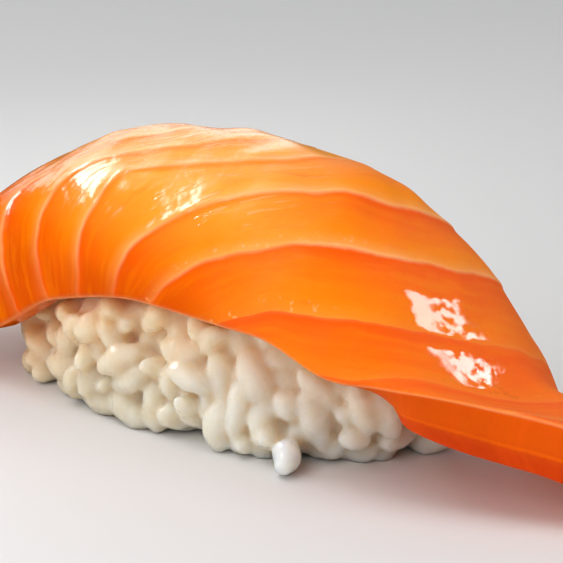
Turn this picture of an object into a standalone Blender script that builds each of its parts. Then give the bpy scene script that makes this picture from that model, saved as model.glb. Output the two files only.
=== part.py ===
"""Salmon nigiri: a hand-pressed loaf of rice with one long slice of salmon draped over it.

Two solids, in metres, +Z up. X runs along the loaf and Y across it, with the front at -Y. The
origin is the middle of the loaf's flat underside. The sizes below are in millimetres.
"""

import math

import bmesh
import bpy
import numpy as np
from mathutils import Matrix, Vector

MM = 0.001
SEED = 41

# Slice of salmon. Each profile is (place along X, value), joined by a smooth curve.
SLICE_LEFT = -37.0                # middle of the cut end at -X
SLICE_RIGHT = 53.0                # middle of the tail's end at +X
LEFT_SKEW = 4.0                   # how far the front corner leads the middle of the left end
RIGHT_SKEW = 1.5                  # how far the back corner leads the middle of the tail's end
CROWN_Z = ((-42, 6.0), (-32, 15.2), (-22, 22.0), (-10, 26.9), (4, 28.2), (16, 26.6), (24, 20.8),
           (31, 13.8), (38, 9.0), (44, 8.5), (54, 6.5))
CROWN_Y = ((-42, -0.5), (28, 0.0), (40, 1.8), (54, 3.4))
FRONT_Y = ((-42, -12.2), (-30, -12.4), (0, -13.1), (24, -13.8), (30, -13.5), (40, -8.0), (54, -4.5))
FRONT_Z = ((-42, 1.2), (-32, 3.6), (-22, 5.9), (-12, 11.4), (0, 13.6), (14, 13.5), (24, 11.3),
           (32, 12.2), (40, 10.5), (46, 10.0), (54, 5.9))
BACK_Y = ((-42, 11.6), (-30, 12.8), (20, 13.5), (30, 12.0), (37, 9.2), (54, 9.6))
BACK_Z = ((-42, 1.0), (-24, 5.6), (-8, 10.0), (10, 11.2), (22, 11.6), (30, 7.0), (37, 2.4),
          (44, 4.0), (54, 4.4))
WRAP = ((-42, 60), (-30, 78), (-10, 85), (14, 78), (24, 77), (36, 42), (54, 26))   # side turn, degrees
THICKNESS = ((-42, 4.4), (-28, 5.0), (34, 4.6), (42, 4.9), (50, 6.0))
END_ROUNDING = 0.16               # how much narrower the slice is at its very ends
END_THINNING = 0.30               # how much thinner the slice is at its very ends
END_ZONE = 0.09                   # share of the slice's length that each end takes
CREASE_DEPTH = 0.62               # where on the cut side, from the top, the under-bevel starts
UNDER_BEVEL = 0.075               # how far the under-bevel goes in, as a share of a half width

# Loaf of rice
LOAF_HALF_LENGTH = 26.2
LOAF_HALF_WIDTH = 12.3
LOAF_SQUARENESS = 2.6             # exponent of the plan's superellipse; 2 is an ellipse
LOAF_PROFILE = ((0, 0.90), (3, 0.965), (8, 1.0), (13, 0.99), (18, 0.90), (24, 0.62))
LOAF_TOP = 24.0
CORE_INSET = 2.3                  # the core stays this far inside the grains' outline
CORE_FOOT = 5.0                   # how far the core reaches below z = 0 before it is cut flat
CORE_FULLNESS = 0.28              # towards 0 the core's top and foot get flatter
FLARE_LEFT = 0.05                 # how far the left end leans out towards the top, per mm

# Grains of cooked rice
GRAIN_HALF_LENGTH = 2.75
GRAIN_HALF_WIDTH = 1.4
GRAIN_ROW_PITCH = 2.35
GRAIN_PITCH = 3.3
GRAIN_TILT = math.radians(28)
FIRST_ROW = 1.25
LAST_ROW = 17.5
LOOSE_GRAINS = ((16.8, -11.6, 1.7), (-8.0, -10.8, 1.6))

FIT_GAP = 0.3                     # between the slice and the rice
VOXEL = 0.62
RICE_TRIANGLES = 5400


def smooth(places, points):
    """Monotone cubic curve through (place, value) points, read at an array of places."""
    xs = np.array([p[0] for p in points], float)
    ys = np.array([p[1] for p in points], float)
    step = np.diff(xs)
    rise = np.diff(ys) / step
    slope = np.concatenate([rise[:1], np.zeros(len(xs) - 2), rise[-1:]])
    same_way = rise[:-1] * rise[1:] > 0
    both = np.where(same_way, rise[:-1] + rise[1:], 1.0)
    slope[1:-1] = np.where(same_way, 2 * rise[:-1] * rise[1:] / both, 0.0)
    at = np.clip(places, xs[0], xs[-1])
    i = np.clip(np.searchsorted(xs, at, side="right") - 1, 0, len(step) - 1)
    t = (at - xs[i]) / step[i]
    start = (1 + 2 * t) * (1 - t) ** 2 * ys[i] + t * (1 - t) ** 2 * step[i] * slope[i]
    end = t * t * (3 - 2 * t) * ys[i + 1] + t * t * (t - 1) * step[i] * slope[i + 1]
    return start + end


# ---------------------------------------------------------------- slice of salmon

def slice_top(s, v):
    """Top face of the slice. s runs 0..1 from left to right, v -1..1 from front to back."""
    left = SLICE_LEFT + LEFT_SKEW * v
    right = SLICE_RIGHT + RIGHT_SKEW * v
    x = left + (right - left) * s
    turn = np.radians(smooth(x, WRAP))
    across = np.sin(turn * np.abs(v)) / np.sin(turn)
    down = (1 - np.cos(turn * np.abs(v))) / (1 - np.cos(turn))
    front = v < 0
    side_y = np.where(front, smooth(x, FRONT_Y), smooth(x, BACK_Y))
    side_z = np.where(front, smooth(x, FRONT_Z), smooth(x, BACK_Z))
    crown_y = smooth(x, CROWN_Y)
    crown_z = smooth(x, CROWN_Z)
    y = crown_y + (side_y - crown_y) * across
    z = crown_z + (side_z - crown_z) * down
    return np.stack([x, y, z], -1)


def slice_normal(s, v):
    """Outward unit normal of the top face."""
    step = 1e-4
    along = slice_top(s + step, v) - slice_top(s - step, v)
    across = slice_top(s, v + step) - slice_top(s, v - step)
    normal = np.cross(along, across)
    return normal / np.linalg.norm(normal, axis=-1, keepdims=True)


def slice_point(s, v, depth):
    """A point of the slice, depth 0..1 from its top face to its underside, in millimetres."""
    end = np.clip((np.abs(s - 0.5) - (0.5 - END_ZONE)) / END_ZONE, 0, 1)
    narrowed = v * (1 - END_ROUNDING * end ** 3)
    thick = smooth(slice_top(s, narrowed)[..., 0], THICKNESS) * (1 - END_THINNING * end ** 2)
    top = slice_top(s, narrowed)
    return top - slice_normal(s, narrowed) * (thick * depth)[..., None]


def slab(name, cuts_along, cuts_across, cuts_deep):
    """A unit box cut into a grid: x is s (0..1), y is v (-1..1) and z is depth (0..1)."""
    mesh = bpy.data.meshes.new(name)
    bm = bmesh.new()
    bmesh.ops.create_cube(bm, size=1.0)
    bmesh.ops.transform(bm, matrix=Matrix.Translation((0.5, 0.5, 0.5)), verts=bm.verts)
    bmesh.ops.scale(bm, vec=(1, 2, 1), verts=bm.verts)
    bmesh.ops.translate(bm, vec=(0, -1, 0), verts=bm.verts)
    for axis, cuts in enumerate((cuts_along, cuts_across, cuts_deep)):
        normal = Vector((0, 0, 0))
        normal[axis] = 1
        for place in cuts:
            bmesh.ops.bisect_plane(bm, geom=bm.verts[:] + bm.edges[:] + bm.faces[:],
                                   plane_co=normal * place, plane_no=normal)
    bm.to_mesh(mesh)
    bm.free()
    return mesh


def even_cuts(low, high, count):
    """Inner cuts that divide low..high into count equal steps."""
    return [low + (high - low) * i / count for i in range(1, count)]


def bend_slab(mesh, grow):
    """Move a slab's points onto the slice. grow, in mm, swells it on every side."""
    co = np.empty(len(mesh.vertices) * 3, np.float32)
    mesh.vertices.foreach_get("co", co)
    s, v, depth = co.reshape(-1, 3).astype(float).T
    bevel = np.clip((depth - CREASE_DEPTH) / (1 - CREASE_DEPTH), 0, 1) * UNDER_BEVEL
    length = SLICE_RIGHT - SLICE_LEFT
    s = 0.5 + (s - 0.5) * (1 + 2 * grow / length)
    v = v * (1 - bevel) * (1 + grow / LOAF_HALF_WIDTH)
    depth = depth + (2 * depth - 1) * grow / THICKNESS[1][1]
    mesh.vertices.foreach_set("co", (slice_point(s, v, depth) * MM).astype(np.float32).ravel())
    mesh.update()


def slice_mesh(name, grow):
    """Mesh of the slice, or of the slice grown on all sides for cutting the rice."""
    along = even_cuts(0.0, 1.0, 36)
    across = even_cuts(-1.0, 1.0, 16) + [-0.965, 0.965]
    mesh = slab(name, along, across, [CREASE_DEPTH])
    bend_slab(mesh, grow)
    bm = bmesh.new()
    bm.from_mesh(mesh)
    bmesh.ops.recalc_face_normals(bm, faces=bm.faces)
    bmesh.ops.triangulate(bm, faces=bm.faces)
    bm.to_mesh(mesh)
    bm.free()
    return mesh


# ---------------------------------------------------------------- loaf of rice

def loaf_outline(turn, height, inset):
    """Point of the loaf's side at a turn about Z, a height and a distance inside the side."""
    swell = smooth(height, LOAF_PROFILE)
    c, s = np.cos(turn), np.sin(turn)
    power = 2 / LOAF_SQUARENESS
    x = (LOAF_HALF_LENGTH * swell - inset) * np.sign(c) * np.abs(c) ** power
    y = (LOAF_HALF_WIDTH * swell - inset) * np.sign(s) * np.abs(s) ** power
    lean = np.where(x < 0, FLARE_LEFT * (x / LOAF_HALF_LENGTH) * height, 0.0)
    return np.stack([x + lean, y, height + 0 * x], -1)


def loaf_turns(height, pitch):
    """Turns about Z that are evenly spaced along the loaf's outline, pitch mm apart."""
    turn = np.linspace(0, 2 * math.pi, 721)
    path = loaf_outline(turn, np.full_like(turn, height), GRAIN_HALF_WIDTH)
    run = np.concatenate([[0], np.cumsum(np.linalg.norm(np.diff(path, axis=0), axis=1))])
    count = max(3, round(run[-1] / pitch))
    return np.interp((np.arange(count) + 0.5) / count * run[-1], run, turn)


def grain_places():
    """Centre and long axis of each grain on the loaf's sides, seeded."""
    rng = np.random.default_rng(SEED)
    places = []
    for row, height in enumerate(np.arange(FIRST_ROW, LAST_ROW, GRAIN_ROW_PITCH)):
        for turn in loaf_turns(height, GRAIN_PITCH):
            turn += rng.normal(0, 0.03) + 0.06 * (row % 2)
            level = max(FIRST_ROW, height + rng.normal(0, 0.45))
            inset = GRAIN_HALF_WIDTH + rng.normal(0.1, 0.45)
            centre = loaf_outline(np.array([turn]), np.array([level]), inset)[0]
            ahead = loaf_outline(np.array([turn + 0.02]), np.array([level]), inset)[0]
            tangent = Vector(ahead - centre).normalized()
            out = tangent.cross(Vector((0, 0, 1)))
            roll = rng.uniform(0, math.pi)
            tilt = rng.normal(0, GRAIN_TILT)
            axis = tangent * math.cos(roll) + Vector((0, 0, math.sin(roll)))
            places.append((Vector(centre), axis * math.cos(tilt) + out * math.sin(tilt)))
    for loose in LOOSE_GRAINS:
        places.append((Vector(loose), Vector((0.3, -0.9, 0.2))))
    return places


def add_core(bm):
    """Plain loaf inside the grains, from a sphere moved onto the loaf's outline."""
    ball = bmesh.ops.create_uvsphere(bm, u_segments=48, v_segments=24, radius=1.0)["verts"]
    for vert in ball:
        turn = math.atan2(vert.co.y, vert.co.x)
        ring = math.hypot(vert.co.x, vert.co.y) ** CORE_FULLNESS
        height = (vert.co.z * 0.5 + 0.5) * (LOAF_TOP + CORE_FOOT) - CORE_FOOT
        outline = loaf_outline(np.array([turn]), np.array([max(0.0, height)]), CORE_INSET)[0]
        vert.co = Vector((outline[0] * ring, outline[1] * ring, height))


def add_grain(bm, centre, axis):
    """One grain as an ellipsoid round its centre and long axis."""
    grain = bmesh.ops.create_icosphere(bm, subdivisions=2, radius=1.0)["verts"]
    size = Matrix.Diagonal((GRAIN_HALF_WIDTH, GRAIN_HALF_WIDTH, GRAIN_HALF_LENGTH, 1))
    place = Matrix.Translation(centre) @ axis.to_track_quat("Z", "Y").to_matrix().to_4x4()
    bmesh.ops.transform(bm, matrix=place @ size, verts=grain)


def heap_mesh(name):
    """Core and grains as overlapping bodies, not yet joined."""
    bm = bmesh.new()
    add_core(bm)
    for centre, axis in grain_places():
        add_grain(bm, centre, axis)
    bmesh.ops.scale(bm, vec=(MM, MM, MM), verts=bm.verts)
    mesh = bpy.data.meshes.new(name)
    bm.to_mesh(mesh)
    bm.free()
    return mesh


def largest_body(mesh):
    """Delete all but the largest connected body, so that no crumb or sealed hollow stays."""
    bm = bmesh.new()
    bm.from_mesh(mesh)
    bm.verts.ensure_lookup_table()
    seen = set()
    bodies = []
    for start in bm.verts:
        if start.index in seen:
            continue
        body, queue = [], [start]
        seen.add(start.index)
        while queue:
            vert = queue.pop()
            body.append(vert)
            for edge in vert.link_edges:
                other = edge.other_vert(vert)
                if other.index not in seen:
                    seen.add(other.index)
                    queue.append(other)
        bodies.append(body)
    bodies.sort(key=len, reverse=True)
    strays = [vert for body in bodies[1:] for vert in body]
    bmesh.ops.delete(bm, geom=strays, context="VERTS")
    bm.to_mesh(mesh)
    bm.free()


def settle_modifiers(obj):
    """Put an object's evaluated mesh in place of its modifiers."""
    graph = bpy.context.evaluated_depsgraph_get()
    result = bpy.data.meshes.new_from_object(obj.evaluated_get(graph))
    obj.modifiers.clear()
    obj.data = result


# ---------------------------------------------------------------- materials and assembly

def finish(name, colour, roughness):
    """Principled material of one colour."""
    material = bpy.data.materials.new(name)
    material.use_nodes = True
    shader = material.node_tree.nodes["Principled BSDF"]
    shader.inputs["Base Color"].default_value = (*colour, 1)
    shader.inputs["Roughness"].default_value = roughness
    shader.inputs["Metallic"].default_value = 0.0
    return material


def add_object(name, mesh, collection, material=None):
    """Object with its mesh, in a collection."""
    obj = bpy.data.objects.new(name, mesh)
    collection.objects.link(obj)
    if material:
        mesh.materials.append(material)
    return obj


def add_collection(name):
    """New collection in the scene."""
    collection = bpy.data.collections.new(name)
    bpy.context.scene.collection.children.link(collection)
    return collection


def build_salmon(parts):
    """The draped slice."""
    salmon = add_object("salmon", slice_mesh("salmon", 0.0), parts,
                        finish("salmon_flesh", (0.95, 0.28, 0.06), 0.3))
    salmon.data.shade_smooth()
    salmon.data.set_sharp_from_angle(angle=math.radians(40))


def build_cutters(cutters):
    """The grown slice that shapes the rice's top, and the block that flattens its base."""
    grown = add_object("slice_room", slice_mesh("slice_room", FIT_GAP), cutters)
    bpy.ops.mesh.primitive_cube_add(size=1.0, location=(0, 0, -5 * MM))
    block = bpy.context.object
    block.name = "base_block"
    block.scale = (90 * MM, 50 * MM, 10 * MM)
    for owner in block.users_collection:
        owner.objects.unlink(block)
    cutters.objects.link(block)
    for cutter in (grown, block):
        cutter.hide_render = True
        cutter.display_type = "WIRE"
    return grown, block


def build_rice(parts, cutters):
    """The loaf: grains joined over a core, cut below the slice and flat underneath."""
    rice = add_object("rice", heap_mesh("rice"), parts, finish("cooked_rice", (0.80, 0.76, 0.66), 0.4))
    remesh = rice.modifiers.new("join", "REMESH")
    remesh.mode = "VOXEL"
    remesh.voxel_size = VOXEL * MM
    settle_modifiers(rice)
    largest_body(rice.data)
    rice.data.update()
    triangles = 2 * len(rice.data.polygons)
    relax = rice.modifiers.new("relax", "SMOOTH")
    relax.factor = 0.5
    relax.iterations = 2
    decimate = rice.modifiers.new("fewer_faces", "DECIMATE")
    decimate.ratio = RICE_TRIANGLES / triangles
    for cutter in build_cutters(cutters):
        cut = rice.modifiers.new("cut_" + cutter.name, "BOOLEAN")
        cut.operation = "DIFFERENCE"
        cut.solver = "EXACT"
        cut.object = cutter
    settle_modifiers(rice)
    largest_body(rice.data)
    rice.data.shade_smooth()


def main():
    """Clear the scene and build the nigiri."""
    for obj in list(bpy.data.objects):
        bpy.data.objects.remove(obj, do_unlink=True)
    parts = add_collection("salmon_nigiri")
    cutters = add_collection("cutters")
    build_salmon(parts)
    build_rice(parts, cutters)


main()
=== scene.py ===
"""Salmon nigiri: one slice of raw salmon draped over a hand-pressed loaf of rice.

The slice is a closed mesh bent by named curves, with flakes between its fat lines. The rice is
a core under several hundred grains that are settled against each other, the floor and the slice,
and then stuck together. Sizes are in millimetres in the classes of the slice and the loaf, and in
metres in the meshes and the studio.
"""

import logging
import math
from dataclasses import dataclass, field
from enum import Enum
from typing import Mapping, Optional, Tuple, Union

import bmesh
import bpy
import numpy as np
from mathutils import Matrix, Vector
from mathutils.bvhtree import BVHTree


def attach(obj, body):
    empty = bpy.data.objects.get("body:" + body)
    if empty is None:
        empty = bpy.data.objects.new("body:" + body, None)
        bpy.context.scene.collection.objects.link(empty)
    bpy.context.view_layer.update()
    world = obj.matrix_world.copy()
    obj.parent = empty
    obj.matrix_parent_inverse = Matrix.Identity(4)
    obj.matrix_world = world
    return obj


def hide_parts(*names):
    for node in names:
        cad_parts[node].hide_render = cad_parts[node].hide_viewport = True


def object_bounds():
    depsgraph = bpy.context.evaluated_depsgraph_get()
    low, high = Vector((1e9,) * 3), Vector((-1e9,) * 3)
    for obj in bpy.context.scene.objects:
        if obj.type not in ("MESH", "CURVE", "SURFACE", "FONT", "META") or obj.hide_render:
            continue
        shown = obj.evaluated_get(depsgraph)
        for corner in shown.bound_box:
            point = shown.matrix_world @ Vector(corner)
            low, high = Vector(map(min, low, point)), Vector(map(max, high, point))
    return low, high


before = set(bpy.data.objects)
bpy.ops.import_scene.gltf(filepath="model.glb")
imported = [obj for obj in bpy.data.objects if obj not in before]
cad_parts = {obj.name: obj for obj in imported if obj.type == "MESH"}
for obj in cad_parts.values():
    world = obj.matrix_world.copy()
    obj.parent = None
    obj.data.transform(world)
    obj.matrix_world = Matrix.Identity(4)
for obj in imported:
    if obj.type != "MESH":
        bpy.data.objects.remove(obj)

MM = 0.001
CAD_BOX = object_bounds()
LOG = logging.getLogger("nigiri")

Number = Union[float, "Signal"]
Colour = Tuple[float, float, float]


# ---------------------------------------------------------------- shader expressions

class Signal:
    """A number that varies over a surface, written with plain operators."""

    def __init__(self, graph: "Graph", socket: bpy.types.NodeSocket) -> None:
        """Wrap a socket.

        Args:
            graph: Graph that the socket belongs to.
            socket: Output socket that carries the number.
        """
        self.graph = graph
        self.socket = socket

    def math(self, operation: str, *others: Number, clamp: bool = False) -> "Signal":
        """Add a Math node whose first value is this one.

        Args:
            operation: Name of the Math node's operation.
            others: The further values.
            clamp: Whether the result is held between 0 and 1.

        Returns:
            The result.
        """
        values = [self, *others]
        node = self.graph.node("ShaderNodeMath", {"operation": operation, "use_clamp": clamp},
                               dict(enumerate(values)))
        return Signal(self.graph, node.outputs[0])

    def __add__(self, other: Number) -> "Signal":
        """This plus the other."""
        return self.math("ADD", other)

    __radd__ = __add__

    def __sub__(self, other: Number) -> "Signal":
        """This minus the other."""
        return self.math("SUBTRACT", other)

    def __rsub__(self, other: Number) -> "Signal":
        """The other minus this."""
        node = self.graph.node("ShaderNodeMath", {"operation": "SUBTRACT"}, {0: other, 1: self})
        return Signal(self.graph, node.outputs[0])

    def __mul__(self, other: Number) -> "Signal":
        """This times the other."""
        return self.math("MULTIPLY", other)

    __rmul__ = __mul__

    def __pow__(self, other: Number) -> "Signal":
        """This to a power."""
        return self.math("POWER", other)

    def __abs__(self) -> "Signal":
        """Distance from zero."""
        return self.math("ABSOLUTE")

    def clamped(self) -> "Signal":
        """This, held between 0 and 1."""
        return self.math("ADD", 0.0, clamp=True)

    def between(self, low: Number, high: Number) -> "Signal":
        """Smooth step from 0 at low to 1 at high.

        Args:
            low: Value where the step starts.
            high: Value where the step ends.

        Returns:
            The step, 0 to 1.
        """
        node = self.graph.node("ShaderNodeMapRange", {"interpolation_type": "SMOOTHSTEP"},
                               {"Value": self, "From Min": low, "From Max": high})
        return Signal(self.graph, node.outputs["Result"])


class Graph:
    """Node tree of one material, with one method that makes any node."""

    MIX_INPUTS = (0, 6, 7)  # places of a colour Mix node's factor and of its two colours
    MIX_RESULT = 2  # place of its mixed colour

    def __init__(self, name: str) -> None:
        """Start a material with an empty tree.

        Args:
            name: The material's name.
        """
        self.material = bpy.data.materials.new(name)
        self.material.use_nodes = True
        self.tree = self.material.node_tree
        self.tree.nodes.clear()

    def node(self, kind: str, settings: Optional[Mapping[str, object]] = None,
             inputs: Optional[Mapping[Union[int, str], object]] = None) -> bpy.types.Node:
        """Make a node.

        Args:
            kind: The node's type.
            settings: Its settings, set first.
            inputs: Values or links of its sockets, by name or place.

        Returns:
            The node.
        """
        node = self.tree.nodes.new(kind)
        for key, value in (settings or {}).items():
            setattr(node, key, value)
        for key, value in (inputs or {}).items():
            self.feed(node.inputs[key], value)
        return node

    def feed(self, socket: bpy.types.NodeSocket, value: object) -> None:
        """Give a socket its value or its link.

        Args:
            socket: Input socket.
            value: A number, colour, vector, Signal or output socket.
        """
        if isinstance(value, Signal):
            self.tree.links.new(value.socket, socket)
        elif isinstance(value, bpy.types.NodeSocket):
            self.tree.links.new(value, socket)
        elif socket.type == "RGBA" and len(value) == 3:
            socket.default_value = (*value, 1.0)
        else:
            socket.default_value = value

    def attribute(self, name: str) -> Signal:
        """Number stored on the mesh's points.

        Args:
            name: The attribute's name.

        Returns:
            The number.
        """
        node = self.node("ShaderNodeAttribute", {"attribute_name": name})
        return Signal(self, node.outputs["Fac"])

    def place(self) -> bpy.types.NodeSocket:
        """Place on the object, in metres."""
        return self.node("ShaderNodeTexCoord").outputs["Object"]

    def combine(self, x: Number, y: Number, z: Number) -> bpy.types.NodeSocket:
        """Vector from three numbers."""
        return self.node("ShaderNodeCombineXYZ", {}, {0: x, 1: y, 2: z}).outputs[0]

    def noise(self, vector: object, scale: float, detail: float = 2.0,
              roughness: float = 0.5) -> Signal:
        """Noise from 0 to 1.

        Args:
            vector: Where it is read.
            scale: Features for each unit of the vector.
            detail: Octaves.
            roughness: How strong the finer octaves are.

        Returns:
            The noise.
        """
        node = self.node("ShaderNodeTexNoise", {},
                         {"Vector": vector, "Scale": scale, "Detail": detail,
                          "Roughness": roughness})
        return Signal(self, node.outputs["Fac"])

    def mix(self, factor: Number, first: object, second: object) -> bpy.types.NodeSocket:
        """Colour between two colours.

        Args:
            factor: 0 for the first, 1 for the second.
            first: First colour.
            second: Second colour.

        Returns:
            The mixed colour.
        """
        node = self.node("ShaderNodeMix", {"data_type": "RGBA"},
                         dict(zip(self.MIX_INPUTS, (factor, first, second))))
        return node.outputs[self.MIX_RESULT]

    def bump(self, height: Number, distance: float, strength: float = 1.0,
             normal: Optional[bpy.types.NodeSocket] = None) -> bpy.types.NodeSocket:
        """Bump node.

        Args:
            height: Height from 0 to 1.
            distance: Depth of a height of 1, in metres.
            strength: Share of the bump that is used.
            normal: Normal of a bump under this one.

        Returns:
            The bumped normal.
        """
        inputs = {"Height": height, "Distance": distance, "Strength": strength}
        if normal is not None:
            inputs["Normal"] = normal
        return self.node("ShaderNodeBump", {}, inputs).outputs["Normal"]

    def finish(self, inputs: Mapping[str, object]) -> bpy.types.Material:
        """End the tree in a Principled surface.

        Args:
            inputs: Values or links of the Principled node's sockets.

        Returns:
            The material.
        """
        shader = self.node("ShaderNodeBsdfPrincipled", {}, inputs)
        self.node("ShaderNodeOutputMaterial", {}, {"Surface": shader.outputs[0]})
        return self.material


# ---------------------------------------------------------------- curves and forms

@dataclass(frozen=True)
class Curve:
    """Smooth curve through (place, value) points that never overshoots them."""

    points: Tuple[Tuple[float, float], ...]

    def at(self, places: np.ndarray) -> np.ndarray:
        """Read the curve.

        Args:
            places: Where it is read.

        Returns:
            Its values there.
        """
        xs = np.array([p[0] for p in self.points], float)
        ys = np.array([p[1] for p in self.points], float)
        step = np.diff(xs)
        rise = np.diff(ys) / step
        slope = np.concatenate([rise[:1], np.zeros(len(xs) - 2), rise[-1:]])
        same_way = rise[:-1] * rise[1:] > 0
        both = np.where(same_way, rise[:-1] + rise[1:], 1.0)
        slope[1:-1] = np.where(same_way, 2 * rise[:-1] * rise[1:] / both, 0.0)
        at = np.clip(places, xs[0], xs[-1])
        i = np.clip(np.searchsorted(xs, at, side="right") - 1, 0, len(step) - 1)
        t = (at - xs[i]) / step[i]
        start = (1 + 2 * t) * (1 - t) ** 2 * ys[i] + t * (1 - t) ** 2 * step[i] * slope[i]
        end = t * t * (3 - 2 * t) * ys[i + 1] + t * t * (t - 1) * step[i] * slope[i + 1]
        return start + end


@dataclass(frozen=True)
class SliceForm:
    """Form of the draped slice. Each curve gives a size by the place along X, in mm."""

    left: float = -37.0
    right: float = 53.0
    left_skew: float = 4.0
    right_skew: float = 1.5
    crown_z: Curve = Curve(((-42, 6.0), (-32, 15.2), (-22, 22.0), (-10, 26.9), (4, 28.2), (16, 26.6),
                            (24, 20.8), (31, 13.8), (38, 9.0), (44, 8.5), (54, 6.5)))
    crown_y: Curve = Curve(((-42, -0.5), (28, 0.0), (40, 1.8), (54, 3.4)))
    front_y: Curve = Curve(((-42, -12.2), (-30, -12.4), (0, -13.1), (24, -13.8), (30, -13.5),
                            (40, -8.0), (54, -4.5)))
    front_z: Curve = Curve(((-42, 1.2), (-32, 3.6), (-22, 5.9), (-12, 11.4), (0, 13.6), (14, 13.5),
                            (24, 11.3), (32, 12.2), (40, 10.5), (46, 10.0), (54, 5.9)))
    back_y: Curve = Curve(((-42, 11.6), (-30, 12.8), (20, 13.5), (30, 12.0), (37, 9.2), (54, 9.6)))
    back_z: Curve = Curve(((-42, 1.0), (-24, 5.6), (-8, 10.0), (10, 11.2), (22, 11.6), (30, 7.0),
                           (37, 2.4), (44, 4.0), (54, 4.4)))
    wrap: Curve = Curve(((-42, 60), (-30, 78), (-10, 85), (14, 78), (24, 77), (36, 42), (54, 26)))
    thickness: Curve = Curve(((-42, 4.4), (-28, 5.0), (34, 4.6), (42, 4.9), (50, 6.0)))
    end_rounding: float = 0.16
    end_thinning: float = 0.30
    end_zone: float = 0.09
    crease_depth: float = 0.62
    under_bevel: float = 0.075

    def along(self, s: np.ndarray, v: np.ndarray) -> np.ndarray:
        """Place along X of a point of the slice, in mm."""
        left = self.left + self.left_skew * v
        return left + (self.right + self.right_skew * v - left) * s

    def top(self, s: np.ndarray, v: np.ndarray) -> np.ndarray:
        """Top face of the slice.

        Args:
            s: 0 to 1 from the left end to the tail.
            v: -1 to 1 from the front edge to the back edge.

        Returns:
            Points in mm.
        """
        x = self.along(s, v)
        turn = np.radians(self.wrap.at(x))
        across = np.sin(turn * np.abs(v)) / np.sin(turn)
        down = (1 - np.cos(turn * np.abs(v))) / (1 - np.cos(turn))
        side_y = np.where(v < 0, self.front_y.at(x), self.back_y.at(x))
        side_z = np.where(v < 0, self.front_z.at(x), self.back_z.at(x))
        crown_y = self.crown_y.at(x)
        crown_z = self.crown_z.at(x)
        return np.stack([x, crown_y + (side_y - crown_y) * across,
                         crown_z + (side_z - crown_z) * down], -1)

    def normal(self, s: np.ndarray, v: np.ndarray) -> np.ndarray:
        """Outward unit normal of the top face."""
        step = 1e-4
        along = self.top(s + step, v) - self.top(s - step, v)
        across = self.top(s, v + step) - self.top(s, v - step)
        normal = np.cross(along, across)
        return normal / np.linalg.norm(normal, axis=-1, keepdims=True)

    def narrowed(self, s: np.ndarray, v: np.ndarray) -> np.ndarray:
        """v, drawn in towards the middle at the rounded ends."""
        return v * (1 - self.end_rounding * self.end_share(s) ** 3)

    def end_share(self, s: np.ndarray) -> np.ndarray:
        """0 over most of the slice, rising to 1 at its two ends."""
        return np.clip((np.abs(s - 0.5) - (0.5 - self.end_zone)) / self.end_zone, 0, 1)

    def point(self, s: np.ndarray, v: np.ndarray, depth: np.ndarray) -> np.ndarray:
        """Point of the slice.

        Args:
            s: 0 to 1 from the left end to the tail.
            v: -1 to 1 from front to back.
            depth: 0 at the top face, 1 at the underside.

        Returns:
            Points in mm.
        """
        v = self.narrowed(s, v)
        thick = self.thickness.at(self.along(s, v)) * (1 - self.end_thinning * self.end_share(s) ** 2)
        return self.top(s, v) - self.normal(s, v) * (thick * depth)[..., None]


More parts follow.
